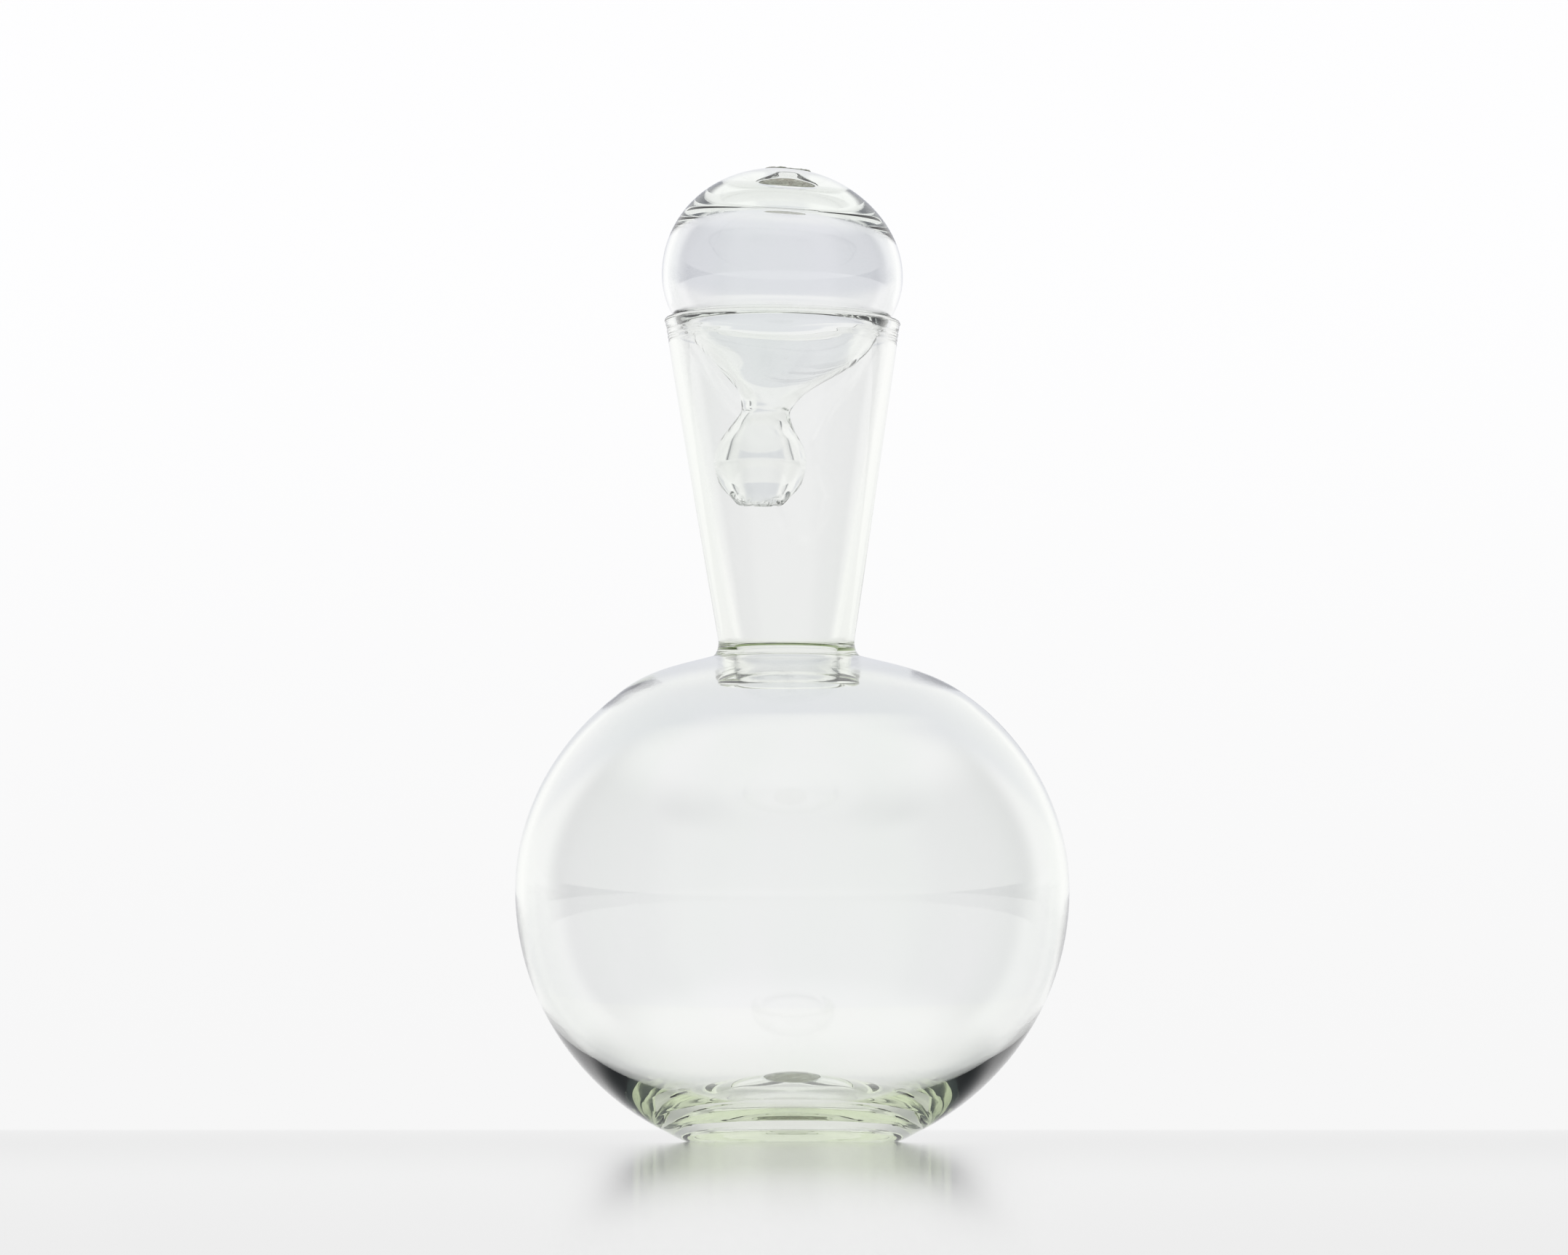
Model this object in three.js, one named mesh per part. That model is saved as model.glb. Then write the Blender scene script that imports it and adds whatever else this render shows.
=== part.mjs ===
// Hand-blown glass decanter with a loose, hollow ball stopper.
// Millimetres, +Z up. The origin is on the table, under the centre of the round bowl.
// Every piece is turned about the vertical axis and then set a little off true, as hot glass is.
import * as THREE from "three";
import { mergeVertices } from "three/addons/utils/BufferGeometryUtils.js";

// ---- the whole object --------------------------------------------------------
const HEIGHT = 299.7; // at the middle of the crown; its tilt makes the whole 300
const GAP = 0.3; // between pieces that touch
const HALF_GAP = GAP / 2;
const SIDES = 40; // facets around the large pieces
const DROP_SIDES = 28;
const SCAR_SIDES = 20;

// ---- bowl --------------------------------------------------------------------
const BOWL = {
  equatorZ: 76.8,
  radius: 85.1,
  rise: 77.7, // of the outside, equator to where its crown would be
  fall: 82.9, // of the outside, equator to where its bottom would be
  wall: 2.5, // at the equator
  innerRise: 73.6,
  innerFall: 70.8,
  innerFullness: 2.25, // 2 is an ellipse; more is boxier
  baseCutOutside: 38.5, // radius where the thick base begins, outside
  baseCutInside: 37.6,
};

// ---- base --------------------------------------------------------------------
const BASE = {
  footOuter: 32.0,
  footInner: 26.0,
  puntHeight: 9.4,
  puntTopRadius: 8.6,
  moundHeight: 17.9,
  scarRadius: 8.0,
  scarThickness: 1.2,
};

// ---- neck and its collar -----------------------------------------------------
const NECK = {
  footZ: 152.1,
  rimZ: 253.3,
  footRadius: 20.7,
  flareRadius: 22.2, // of the little foot that sits on the shoulder
  rimRadius: 36.4,
  boreAtFoot: 16.4,
  boreAtRim: 33.7,
  lipRound: 1.1,
};
const TOOLING_RINGS = [249.6, 247.9, 246.4]; // heights of the shallow grooves under the lip
const TOOLING_DEPTH = 0.35;
const TOOLING_HALF_WIDTH = 0.6;
const COLLAR = {
  bottomZ: 141.2,
  radius: 22.0,
  bore: 16.2,
  round: 1.2,
};

// ---- stopper -----------------------------------------------------------------
const SEAT_Z = 253.0; // the sharp edge that rests in the mouth
const BALL = {
  equatorZ: 266.8,
  radius: 37.2,
  rise: 33.2,
  fall: 30.0,
  innerRadius: 35.4,
  innerRise: 23.3,
  innerFall: 23.3,
  innerFullness: 2.7,
  seatRadius: 33.0,
  creaseRadius: 28.4,
};
const CROWN_SCAR = { radius: 7.2, thickness: 1.1, rim: 0.5 };
const WAIST_Z = 226.2; // where the drop joins the funnel
const TIP_Z = 195.6;

// ---- how far each piece is off true ------------------------------------------
const NECK_LEAN_DEGREES = 0.7; // the neck's top leans towards -X
const NECK_OFFSET = -1.75; // of the neck's foot from the bowl's axis
const OFFSET_BEGINS_Z = 132; // the shoulder starts to follow the neck here
const RIM_SLOPE_DEGREES = 0.9; // the rim is lower on the +X side
const RIM_SLOPE_BEGINS_Z = 215;
const STOPPER_X = -3.2; // the stopper's own axis at its seat
const CROWN_SHIFT = 1.9; // of the ball's top towards +X
const CROWN_SLOPE_DEGREES = 4.5; // the ball's top is lower on the +X side
const DROP_SHIFT = -6.6; // of the hanging drop towards -X
const DROP_SHIFT_DEPTHS = [11, 37]; // below the seat, where the shift begins and is complete
const FUNNEL_BULGE = { shift: 1.2, depth: 11.5, spread: 5.5 }; // the funnel is fuller on its +X side

const radians = THREE.MathUtils.degToRad;

// Smooth step from 0 at low to 1 at high.
function ease(value, low, high) {
  return THREE.MathUtils.smoothstep(value, low, high);
}

// ---- off-true movements --------------------------------------------------------
function moveFlask(point) {
  const lean = Math.tan(radians(NECK_LEAN_DEGREES)) * Math.max(point.z - NECK.footZ, 0);
  const slope = Math.tan(radians(RIM_SLOPE_DEGREES)) * ease(point.z, RIM_SLOPE_BEGINS_Z, NECK.rimZ);
  const sideways = NECK_OFFSET * ease(point.z, OFFSET_BEGINS_Z, NECK.footZ) - lean;
  point.z -= slope * point.x;
  point.x += sideways;
}

function moveStopper(point) {
  const height = point.z - SEAT_Z;
  const depth = Math.max(-height, 0);
  const up = Math.max(height, 0) / (HEIGHT - SEAT_Z);
  const offCentre = (depth - FUNNEL_BULGE.depth) / FUNNEL_BULGE.spread;
  const bulge = height < 0 ? FUNNEL_BULGE.shift * Math.exp(-offCentre * offCentre) : 0;
  const hang = DROP_SHIFT * ease(depth, ...DROP_SHIFT_DEPTHS);
  const slopeDegrees = THREE.MathUtils.lerp(RIM_SLOPE_DEGREES, CROWN_SLOPE_DEGREES, ease(up, 0, 1));
  const slope = Math.tan(radians(slopeDegrees)) * (1 - ease(depth, 0, DROP_SHIFT_DEPTHS[1]));
  point.z -= slope * point.x;
  point.x += STOPPER_X + CROWN_SHIFT * up * up + hang + bulge;
}

// ---- profiles ------------------------------------------------------------------
// A profile is a list of (radius, height) points. It starts and ends on the axis, or closes on itself.
const ON_AXIS = 1e-6;
const at = (radius, height) => new THREE.Vector2(radius, height);

// Height above or below the equator of a dome with the given half-width and rise, at one radius.
function domeHeight(radius, halfWidth, rise, fullness = 2) {
  return rise * Math.pow(1 - Math.pow(radius / halfWidth, fullness), 1 / fullness);
}

// Points along a dome, from one radius to another, evenly spaced in the dome's own angle.
function dome({ equatorZ, halfWidth, rise, fullness = 2, from, to, steps }) {
  const angleAt = (radius) => Math.acos(Math.pow(radius / halfWidth, fullness / 2));
  const points = [];
  for (let i = 0; i <= steps; i += 1) {
    const angle = THREE.MathUtils.lerp(angleAt(from), angleAt(to), i / steps);
    const radius = halfWidth * Math.pow(Math.max(Math.cos(angle), 0), 2 / fullness);
    const height = rise * Math.pow(Math.sin(angle), 2 / fullness);
    points.push(at(radius < ON_AXIS ? 0 : radius, equatorZ + height));
  }
  return points;
}

// Points along a smooth curve through a few chosen ones.
function smooth(points, steps) {
  return new THREE.SplineCurve(points).getPoints(steps);
}

// A quarter-round corner: centre, radius, and the two angles it runs between.
function corner(radius, height, round, fromDegrees, toDegrees, steps = 2) {
  const points = [];
  for (let i = 0; i <= steps; i += 1) {
    const angle = radians(THREE.MathUtils.lerp(fromDegrees, toDegrees, i / steps));
    points.push(at(radius + round * Math.cos(angle), height + round * Math.sin(angle)));
  }
  return points;
}

// ---- solids --------------------------------------------------------------------
function signedArea(profile) {
  return THREE.ShapeUtils.area(profile);
}

// Drops points that repeat the one before them.
function withoutRepeats(points) {
  return points.filter((point, i) => i === 0 || point.distanceTo(points[i - 1]) > 1e-6);
}

// Turns a profile about +Z and moves it off true. A profile that never reaches the axis is closed on itself.
function turned(points, sides, move) {
  const profile = withoutRepeats(points);
  if (signedArea(profile) < 0) {
    profile.reverse();
  }
  const onAxis = profile.some((point) => point.x === 0);
  if (!onAxis) {
    profile.push(profile[0].clone());
  }
  let geometry = new THREE.LatheGeometry(profile, sides);
  geometry.deleteAttribute("normal");
  geometry.deleteAttribute("uv");
  geometry = mergeVertices(geometry.rotateX(Math.PI / 2), 1e-4);
  const position = geometry.attributes.position;
  const point = new THREE.Vector3();
  for (let i = 0; i < position.count; i += 1) {
    point.fromBufferAttribute(position, i);
    move(point);
    position.setXYZ(i, point.x, point.y, point.z);
  }
  geometry.computeVertexNormals();
  return geometry;
}

const CLEAR_GLASS = { color: 0xe3ebe4, roughness: 0.04, metalness: 0, transparent: true, opacity: 0.35 };
const THICK_GLASS = { color: 0xc6d6c4, roughness: 0.05, metalness: 0, transparent: true, opacity: 0.5 };
const TORN_GLASS = { color: 0x8d9484, roughness: 0.6, metalness: 0, transparent: true, opacity: 0.8 };

const decanter = new THREE.Group();

function addPiece(name, geometry, finish) {
  const mesh = new THREE.Mesh(geometry, new THREE.MeshStandardMaterial(finish));
  mesh.name = name;
  decanter.add(mesh);
}

// ---- flask ---------------------------------------------------------------------
function bowl() {
  const inner = BOWL.radius - BOWL.wall;
  const hole = COLLAR.radius + GAP;
  const above = { equatorZ: BOWL.equatorZ, rise: BOWL.rise, halfWidth: BOWL.radius };
  const below = { equatorZ: BOWL.equatorZ, rise: -BOWL.fall, halfWidth: BOWL.radius };
  const innerAbove = { equatorZ: BOWL.equatorZ, rise: BOWL.innerRise, halfWidth: inner };
  const innerBelow = { equatorZ: BOWL.equatorZ, rise: -BOWL.innerFall, halfWidth: inner, fullness: BOWL.innerFullness };
  return turned(
    [
      ...dome({ ...above, from: hole, to: BOWL.radius, steps: 10 }),
      ...dome({ ...below, from: BOWL.radius, to: BOWL.baseCutOutside + HALF_GAP, steps: 9 }),
      ...dome({ ...innerBelow, from: BOWL.baseCutInside + HALF_GAP, to: inner, steps: 8 }),
      ...dome({ ...innerAbove, from: inner, to: hole, steps: 8 }),
    ],
    SIDES,
    moveFlask,
  );
}

function basePunt() {
  const inner = BOWL.radius - BOWL.wall;
  const outsideRadius = BOWL.baseCutOutside - HALF_GAP;
  const insideRadius = BOWL.baseCutInside - HALF_GAP;
  const outsideZ = BOWL.equatorZ - domeHeight(outsideRadius, BOWL.radius, BOWL.fall);
  const insideZ = BOWL.equatorZ - domeHeight(insideRadius, inner, BOWL.innerFall, BOWL.innerFullness);
  const mound = [at(0, BASE.moundHeight), at(4.5, 17.5), at(8.5, 16.5), at(17, 14.5), at(25, 12.1), at(31, 10.6)];
  const punt = [at(BASE.footInner, 0), at(22, 3.0), at(16, 6.8), at(BASE.puntTopRadius, BASE.puntHeight)];
  return turned(
    [
      ...smooth([...mound, at(insideRadius, insideZ)], 10),
      at(outsideRadius, outsideZ),
      at(35.4, 1.0),
      at(BASE.footOuter, 0),
      ...smooth(punt, 5),
      at(0, BASE.puntHeight),
    ],
    SIDES,
    moveFlask,
  );
}

// A rounded button of glass: flat on the side that is stuck on, uneven on the side that was torn off.
function scarProfile(radius, stuckZ, tornZ) {
  const depth = tornZ - stuckZ;
  return [
    at(0, stuckZ),
    at(radius, stuckZ),
    at(radius, stuckZ + 0.35 * depth),
    at(0.9 * radius, stuckZ + 0.85 * depth),
    at(0.62 * radius, tornZ),
    at(0, stuckZ + 0.8 * depth),
  ];
}

function basePontilScar() {
  const stuckZ = BASE.puntHeight - GAP;
  return turned(scarProfile(BASE.scarRadius, stuckZ, stuckZ - BASE.scarThickness), SCAR_SIDES, moveFlask);
}

function neckCollar() {
  const { bottomZ, radius, bore, round } = COLLAR;
  const top = NECK.footZ - HALF_GAP;
  return turned(
    [
      at(bore, top),
      ...corner(bore + round, bottomZ + round, round, 180, 270),
      ...corner(radius - round, bottomZ + round, round, 270, 360),
      at(radius, top),
    ],
    SIDES,
    moveFlask,
  );
}

// Outside radius of the neck's straight cone.
function neckRadius(z) {
  return THREE.MathUtils.mapLinear(z, NECK.footZ, NECK.rimZ, NECK.footRadius, NECK.rimRadius);
}

function toolingRing(z) {
  return [
    at(neckRadius(z - TOOLING_HALF_WIDTH), z - TOOLING_HALF_WIDTH),
    at(neckRadius(z) - TOOLING_DEPTH, z),
    at(neckRadius(z + TOOLING_HALF_WIDTH), z + TOOLING_HALF_WIDTH),
  ];
}

function neck() {
  const bottom = NECK.footZ + HALF_GAP;
  const { rimZ, rimRadius, boreAtRim, boreAtFoot, lipRound } = NECK;
  const grooves = [...TOOLING_RINGS].reverse().flatMap(toolingRing);
  return turned(
    [
      at(boreAtFoot, bottom),
      at(NECK.flareRadius, bottom),
      at(neckRadius(154) + 0.45, 154),
      at(neckRadius(157), 157),
      ...grooves,
      ...corner(rimRadius - lipRound, rimZ - lipRound, lipRound, 0, 90),
      ...corner(boreAtRim + lipRound, rimZ - lipRound, lipRound, 90, 180),
      at(THREE.MathUtils.lerp(boreAtFoot, boreAtRim, 0.5), (bottom + rimZ) / 2),
    ],
    SIDES,
    moveFlask,
  );
}

// ---- stopper -------------------------------------------------------------------
function stopperBall() {
  const { equatorZ, radius, rise, fall, innerRadius, innerRise, innerFall, innerFullness } = BALL;
  const bottom = SEAT_Z + HALF_GAP;
  const pole = HEIGHT - CROWN_SCAR.thickness - GAP;
  const scarEdge = CROWN_SCAR.radius + GAP;
  const crown = { equatorZ, halfWidth: innerRadius, rise: innerRise, fullness: innerFullness };
  const seat = dome({ equatorZ, halfWidth: radius, rise: -fall, from: BALL.seatRadius, to: radius, steps: 3 });
  seat[0].y = bottom;
  return turned(
    [
      ...dome({ ...crown, from: 0, to: innerRadius, steps: 9 }),
      ...dome({ equatorZ, halfWidth: innerRadius, rise: -innerFall, from: innerRadius, to: 28.9, steps: 2 }),
      at(BALL.creaseRadius, bottom),
      ...seat,
      ...dome({ equatorZ, halfWidth: radius, rise, from: radius, to: scarEdge + CROWN_SCAR.rim, steps: 9 }),
      at(scarEdge, pole),
      at(0, pole),
    ],
    SIDES,
    moveStopper,
  );
}

function stopperPontilScar() {
  const stuckZ = HEIGHT - CROWN_SCAR.thickness;
  return turned(scarProfile(CROWN_SCAR.radius, stuckZ, HEIGHT), SCAR_SIDES, moveStopper);
}

function stopperFunnel() {
  const top = SEAT_Z - HALF_GAP;
  const bottom = WAIST_Z + HALF_GAP;
  const outside = [at(32.9, top), at(31.6, 250.6), at(23.4, 240.8), at(11.4, 231.3), at(8.1, bottom)];
  const inside = [at(5.2, bottom), at(8.3, 231.1), at(20.2, 241.4), at(BALL.creaseRadius, top)];
  return turned([...smooth(outside, 8), ...smooth(inside, 6)], SIDES, moveStopper);
}

function stopperDrop() {
  const top = WAIST_Z - HALF_GAP;
  const outside = [at(8.1, top), at(7.8, 223.5), at(10.2, 219), at(13.3, 213.5), at(14.1, 208), at(12.6, 202)];
  const end = [at(9.3, 198.2), at(7.6, 196.3), at(6.6, TIP_Z)];
  const inside = [at(4.1, TIP_Z), at(5.6, 197.8), at(7.8, 201.9), at(9.6, 207.2), at(10, 210), at(8.6, 214.5)];
  const waist = [at(6.0, 219.5), at(4.8, 224), at(5.1, top)];
  return turned([...smooth([...outside, ...end], 12), ...smooth([...inside, ...waist], 12)], DROP_SIDES, moveStopper);
}

addPiece("bowl", bowl(), CLEAR_GLASS);
addPiece("base_punt", basePunt(), THICK_GLASS);
addPiece("base_pontil_scar", basePontilScar(), TORN_GLASS);
addPiece("neck_collar", neckCollar(), THICK_GLASS);
addPiece("neck", neck(), CLEAR_GLASS);
addPiece("stopper_ball", stopperBall(), CLEAR_GLASS);
addPiece("stopper_funnel", stopperFunnel(), CLEAR_GLASS);
addPiece("stopper_drop", stopperDrop(), CLEAR_GLASS);
addPiece("stopper_pontil_scar", stopperPontilScar(), TORN_GLASS);

export default decanter;
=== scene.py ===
"""Looks of a hand-blown glass decanter with a loose, hollow ball stopper.

Every visible piece is a surface of revolution worked out with numpy, set a little off true in the same way as the
frame's own solids, and finished with procedural glass. Lengths are in millimetres until a mesh is made.
"""

import logging
import math
from dataclasses import dataclass, field
from enum import Enum
from typing import Callable, Sequence

import bpy
import numpy as np
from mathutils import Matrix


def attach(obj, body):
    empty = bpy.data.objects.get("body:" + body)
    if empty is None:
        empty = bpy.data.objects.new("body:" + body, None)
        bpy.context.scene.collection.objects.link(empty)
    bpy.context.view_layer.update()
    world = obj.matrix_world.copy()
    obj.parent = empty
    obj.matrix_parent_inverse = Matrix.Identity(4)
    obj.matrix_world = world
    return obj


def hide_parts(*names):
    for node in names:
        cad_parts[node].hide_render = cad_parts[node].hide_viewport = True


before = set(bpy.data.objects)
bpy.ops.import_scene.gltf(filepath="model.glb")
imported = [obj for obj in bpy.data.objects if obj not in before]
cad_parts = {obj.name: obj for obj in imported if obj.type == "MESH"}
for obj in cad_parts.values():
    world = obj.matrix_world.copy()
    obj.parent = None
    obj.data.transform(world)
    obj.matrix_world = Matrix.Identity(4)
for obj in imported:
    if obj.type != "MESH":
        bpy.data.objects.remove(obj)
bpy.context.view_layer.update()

LOG = logging.getLogger("decanter")
MM = 0.001
AROUND = 192  # columns around a large piece
SMALL_AROUND = 96  # columns around the scars
WELD = 0.02  # how far a piece reaches into the one it was joined to while hot
SHARP_DEGREES = 40.0  # edges that turn more than this stay sharp
SAME_PLACE = 1e-4  # points of a profile closer than this are one
ON_AXIS = 1e-6  # radii smaller than this are on the axis
GRAIN_NUMBERS = 4096
GRAIN_STRIDES = np.array([73, 157, 911])

Array = np.ndarray
Move = Callable[[Array], Array]
Ripple = Callable[[Array, Array], Array]
Run = Sequence[tuple[float, float]]
Colour = tuple[float, float, float]


# ---- shape functions ---------------------------------------------------------------------------------------------


def ease(value: Array | float, low: float, high: float) -> Array | float:
    """Smooth step: 0 at low, 1 at high, and 3t^2 - 2t^3 between them.

    Args:
        value: where to evaluate it.
        low: the value at which it leaves 0.
        high: the value at which it reaches 1.

    Returns:
        The step's height, in the same form as value.
    """
    t = np.clip((value - low) / (high - low), 0.0, 1.0)
    return t * t * (3.0 - 2.0 * t)


def dome(
    equator: float, half_width: float, rise: float, start: float, stop: float, steps: int, fullness: float = 2.0
) -> Array:
    """Points on a superellipse: (r/half_width)^fullness + (h/rise)^fullness = 1.

    Args:
        equator: height of its widest circle.
        half_width: radius there.
        rise: height of its crown above the equator; negative for a bowl.
        start: radius of the first point.
        stop: radius of the last point.
        steps: number of segments.
        fullness: 2 is an ellipse, more is boxier.

    Returns:
        Rows of (radius, height).
    """
    ends = np.arccos(np.clip(np.array([start, stop]) / half_width, 0.0, 1.0) ** (fullness / 2.0))
    angle = np.linspace(ends[0], ends[1], steps + 1)
    radius = half_width * np.clip(np.cos(angle), 0.0, None) ** (2.0 / fullness)
    height = equator + rise * np.sin(angle) ** (2.0 / fullness)
    radius[np.abs(radius) < ON_AXIS] = 0.0
    return np.stack([radius, height], axis=1)


def smooth(points: Run, steps: int) -> Array:
    """A uniform Catmull-Rom curve through the points: each span is the cubic whose end slopes are half the chord
    between the neighbours on both sides.

    Args:
        points: rows of (radius, height).
        steps: number of segments.

    Returns:
        Rows of (radius, height).
    """
    knots = np.asarray(points, dtype=float)
    padded = np.concatenate([knots[:1], knots, knots[-1:]])
    place = np.linspace(0.0, len(knots) - 1, steps + 1)
    span = np.minimum(place.astype(int), len(knots) - 2)
    t = (place - span)[:, None]
    before, first, second, after = (padded[span + i] for i in range(4))
    slope_in = (second - before) / 2.0
    slope_out = (after - first) / 2.0
    return (
        (2.0 * (first - second) + slope_in + slope_out) * t**3
        + (3.0 * (second - first) - 2.0 * slope_in - slope_out) * t**2
        + slope_in * t
        + first
    )


def straight(start: tuple[float, float], stop: tuple[float, float], steps: int) -> Array:
    """Evenly spaced points on a straight line, ends included.

    Args:
        start: first (radius, height).
        stop: last (radius, height).
        steps: number of segments.

    Returns:
        Rows of (radius, height).
    """
    return np.linspace(start, stop, steps + 1)


def round_corner(radius: float, height: float, size: float, start: float, stop: float, steps: int = 8) -> Array:
    """An arc about a point: radius + size*cos(a), height + size*sin(a).

    Args:
        radius: the centre's radius.
        height: the centre's height.
        size: the arc's own radius.
        start: first angle in degrees.
        stop: last angle in degrees.
        steps: number of segments.

    Returns:
        Rows of (radius, height).
    """
    angle = np.radians(np.linspace(start, stop, steps + 1))
    return np.stack([radius + size * np.cos(angle), height + size * np.sin(angle)], axis=1)


def joined(*runs: Array | Run) -> Array:
    """Runs of points end to end, without those that repeat the one before.

    Args:
        runs: rows of (radius, height).

    Returns:
        One set of rows.
    """
    points = np.concatenate([np.asarray(run, dtype=float) for run in runs])
    step = np.linalg.norm(np.diff(points, axis=0), axis=1)
    return points[np.concatenate([[True], step > SAME_PLACE])]


def turn(profile: Array, around: int, ripple: Ripple | None = None) -> tuple[Array, list]:
    """Carries a profile round the vertical axis: x = r*cos(a), y = r*sin(a), z = h, with r + ripple(a, h) off the axis.

    The profile starts and ends on the axis, or else closes on itself. Each end on the axis becomes one pole point.

    Args:
        profile: rows of (radius, height), outward faces on the left of the way it runs.
        around: number of columns.
        ripple: what to add to the radius, from the angle and the height.

    Returns:
        Rows of (x, y, z) and the faces.
    """
    poles = profile[0, 0] == 0.0 and profile[-1, 0] == 0.0
    rows = profile[1:-1] if poles else profile
    angle = np.linspace(0.0, 2.0 * math.pi, around, endpoint=False)
    radius = np.repeat(rows[:, :1], around, axis=1)
    height = np.repeat(rows[:, 1:], around, axis=1)
    angles = np.broadcast_to(angle, radius.shape)
    if ripple is not None:
        radius = radius + ripple(angles, height)
    points = np.stack([radius * np.cos(angles), radius * np.sin(angles), height], axis=2).reshape(-1, 3)
    count = len(rows)
    last = count - 1 if poles else count
    row = np.arange(last)[:, None]
    column = np.arange(around)[None, :]
    after = (column + 1) % around
    below = row * around
    above = ((row + 1) % count) * around
    quads = np.stack([below + column, below + after, above + after, above + column], axis=2).reshape(-1, 4)
    faces = quads.tolist()
    if poles:
        first, final = len(points), len(points) + 1
        points = np.concatenate([points, [[0.0, 0.0, profile[0, 1]], [0.0, 0.0, profile[-1, 1]]]])
        ring = np.arange(around)
        nxt = (ring + 1) % around
        top = (count - 1) * around
        faces += np.stack([np.full(around, first), nxt, ring], axis=1).tolist()
        faces += np.stack([np.full(around, final), top + ring, top + nxt], axis=1).tolist()
    return points, faces


def make_mesh(name: str, points: Array, faces: list, material: bpy.types.Material) -> bpy.types.Object:
    """Makes a smooth-shaded object whose place is in its mesh.

    Args:
        name: the piece's name.
        points: rows of (x, y, z) in millimetres.
        faces: lists of point numbers.
        material: its finish.

    Returns:
        The new object, at the origin.
    """
    mesh = bpy.data.meshes.new(name)
    mesh.from_pydata((points * MM).tolist(), [], faces)
    mesh.validate()
    mesh.polygons.foreach_set("use_smooth", np.ones(len(mesh.polygons), dtype=bool))
    mesh.set_sharp_from_angle(angle=math.radians(SHARP_DEGREES))
    mesh.materials.append(material)
    piece = bpy.data.objects.new(name, mesh)
    bpy.context.scene.collection.objects.link(piece)
    return piece


def outward(points: Array, faces: list) -> list:
    """Reverses every face if the solid's signed volume is negative.

    Args:
        points: rows of (x, y, z).
        faces: lists of point numbers.

    Returns:
        Faces that point out.
    """
    corners = np.array([[face[0], face[i], face[i + 1]] for face in faces for i in range(1, len(face) - 1)])
    a, b, c = (points[corners[:, i]] for i in range(3))
    volume = np.einsum("ij,ij->i", a, np.cross(b, c)).sum()
    return faces if volume > 0 else [face[::-1] for face in faces]


def grain(points: Array, size: float, seed: int) -> Array:
    """Smooth lattice noise: random numbers at the corners of a cubic lattice, blended with the smooth step inside.

    Args:
        points: rows of (x, y, z).
        size: the lattice's spacing, in the same unit.
        seed: which random numbers.

    Returns:
        One number per row, from -1 to 1.
    """
    table = np.random.default_rng(seed).uniform(-1.0, 1.0, GRAIN_NUMBERS)
    place = points / size
    cell = np.floor(place).astype(np.int64)
    part = place - cell
    part = part * part * (3.0 - 2.0 * part)
    total = np.zeros(len(points))
    for corner in np.ndindex(2, 2, 2):
        at = cell + np.array(corner)
        number = table[(at @ GRAIN_STRIDES) % GRAIN_NUMBERS]
        weight = np.prod(np.where(np.array(corner) == 1, part, 1.0 - part), axis=1)
        total += number * weight
    return total


def flutes(angle: Array, amounts: Sequence[tuple[int, float, float]]) -> Array:
    """The sum of amount*cos(times*angle + turn): shallow lengthwise waves that the jacks leave on a blown wall.

    Args:
        angle: where, in radians.
        amounts: (times round, amount in millimetres, turn in radians) of each wave.

    Returns:
        What to add to the radius.
    """
    return sum(amount * np.cos(times * angle + turn_by) for times, amount, turn_by in amounts)


# ---- shader maths ------------------------------------------------------------------------------------------------


class Graph:
    """The nodes of one material or world, added one call at a time."""

    def __init__(self, tree: bpy.types.NodeTree) -> None:
        """Empties the tree and keeps it.

        Args:
            tree: the tree to fill.
        """
        tree.nodes.clear()
        self.tree = tree

    def node(self, kind: str, settings: dict | None = None, inputs: dict | None = None) -> bpy.types.Node:
        """Adds one node.

        Args:
            kind: the node's type, without its ShaderNode prefix.
            settings: attributes to set first.
            inputs: socket name or number to a plain value, a Value or a socket.

        Returns:
            The new node.
        """
        made = self.tree.nodes.new("ShaderNode" + kind)
        for key, setting in (settings or {}).items():
            setattr(made, key, setting)
        for key, given in (inputs or {}).items():
            given = given.socket if isinstance(given, Value) else given
            if isinstance(given, bpy.types.NodeSocket):
                self.tree.links.new(given, made.inputs[key])
            else:
                made.inputs[key].default_value = given
        return made

    def value(self, kind: str, output: str, settings: dict | None = None, inputs: dict | None = None) -> "Value":
        """Adds one node and wraps one of its outputs.

        Args:
            kind: as in node.
            output: the output's name.
            settings: as in node.
            inputs: as in node.

        Returns:
            The wrapped output.
        """
        return Value(self, self.node(kind, settings, inputs).outputs[output])

    def blend(self, factor: "Value", first: Sequence[float], second: Sequence[float]) -> bpy.types.NodeSocket:
        """Mixes two colours.

        Args:
            factor: 0 gives the first and 1 the second.
            first: a colour of three numbers.
            second: a colour of three numbers.

        Returns:
            The mixed colour's socket.
        """
        mix = self.node("Mix", {"data_type": "RGBA"}, {"Factor": factor})
        for name, given in (("A", first), ("B", second)):
            socket = next(s for s in mix.inputs if s.name == name and s.type == "RGBA")
            if isinstance(given, bpy.types.NodeSocket):
                self.tree.links.new(given, socket)
            else:
                socket.default_value = (*given, 1.0)
        return next(s for s in mix.outputs if s.type == "RGBA")


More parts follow.
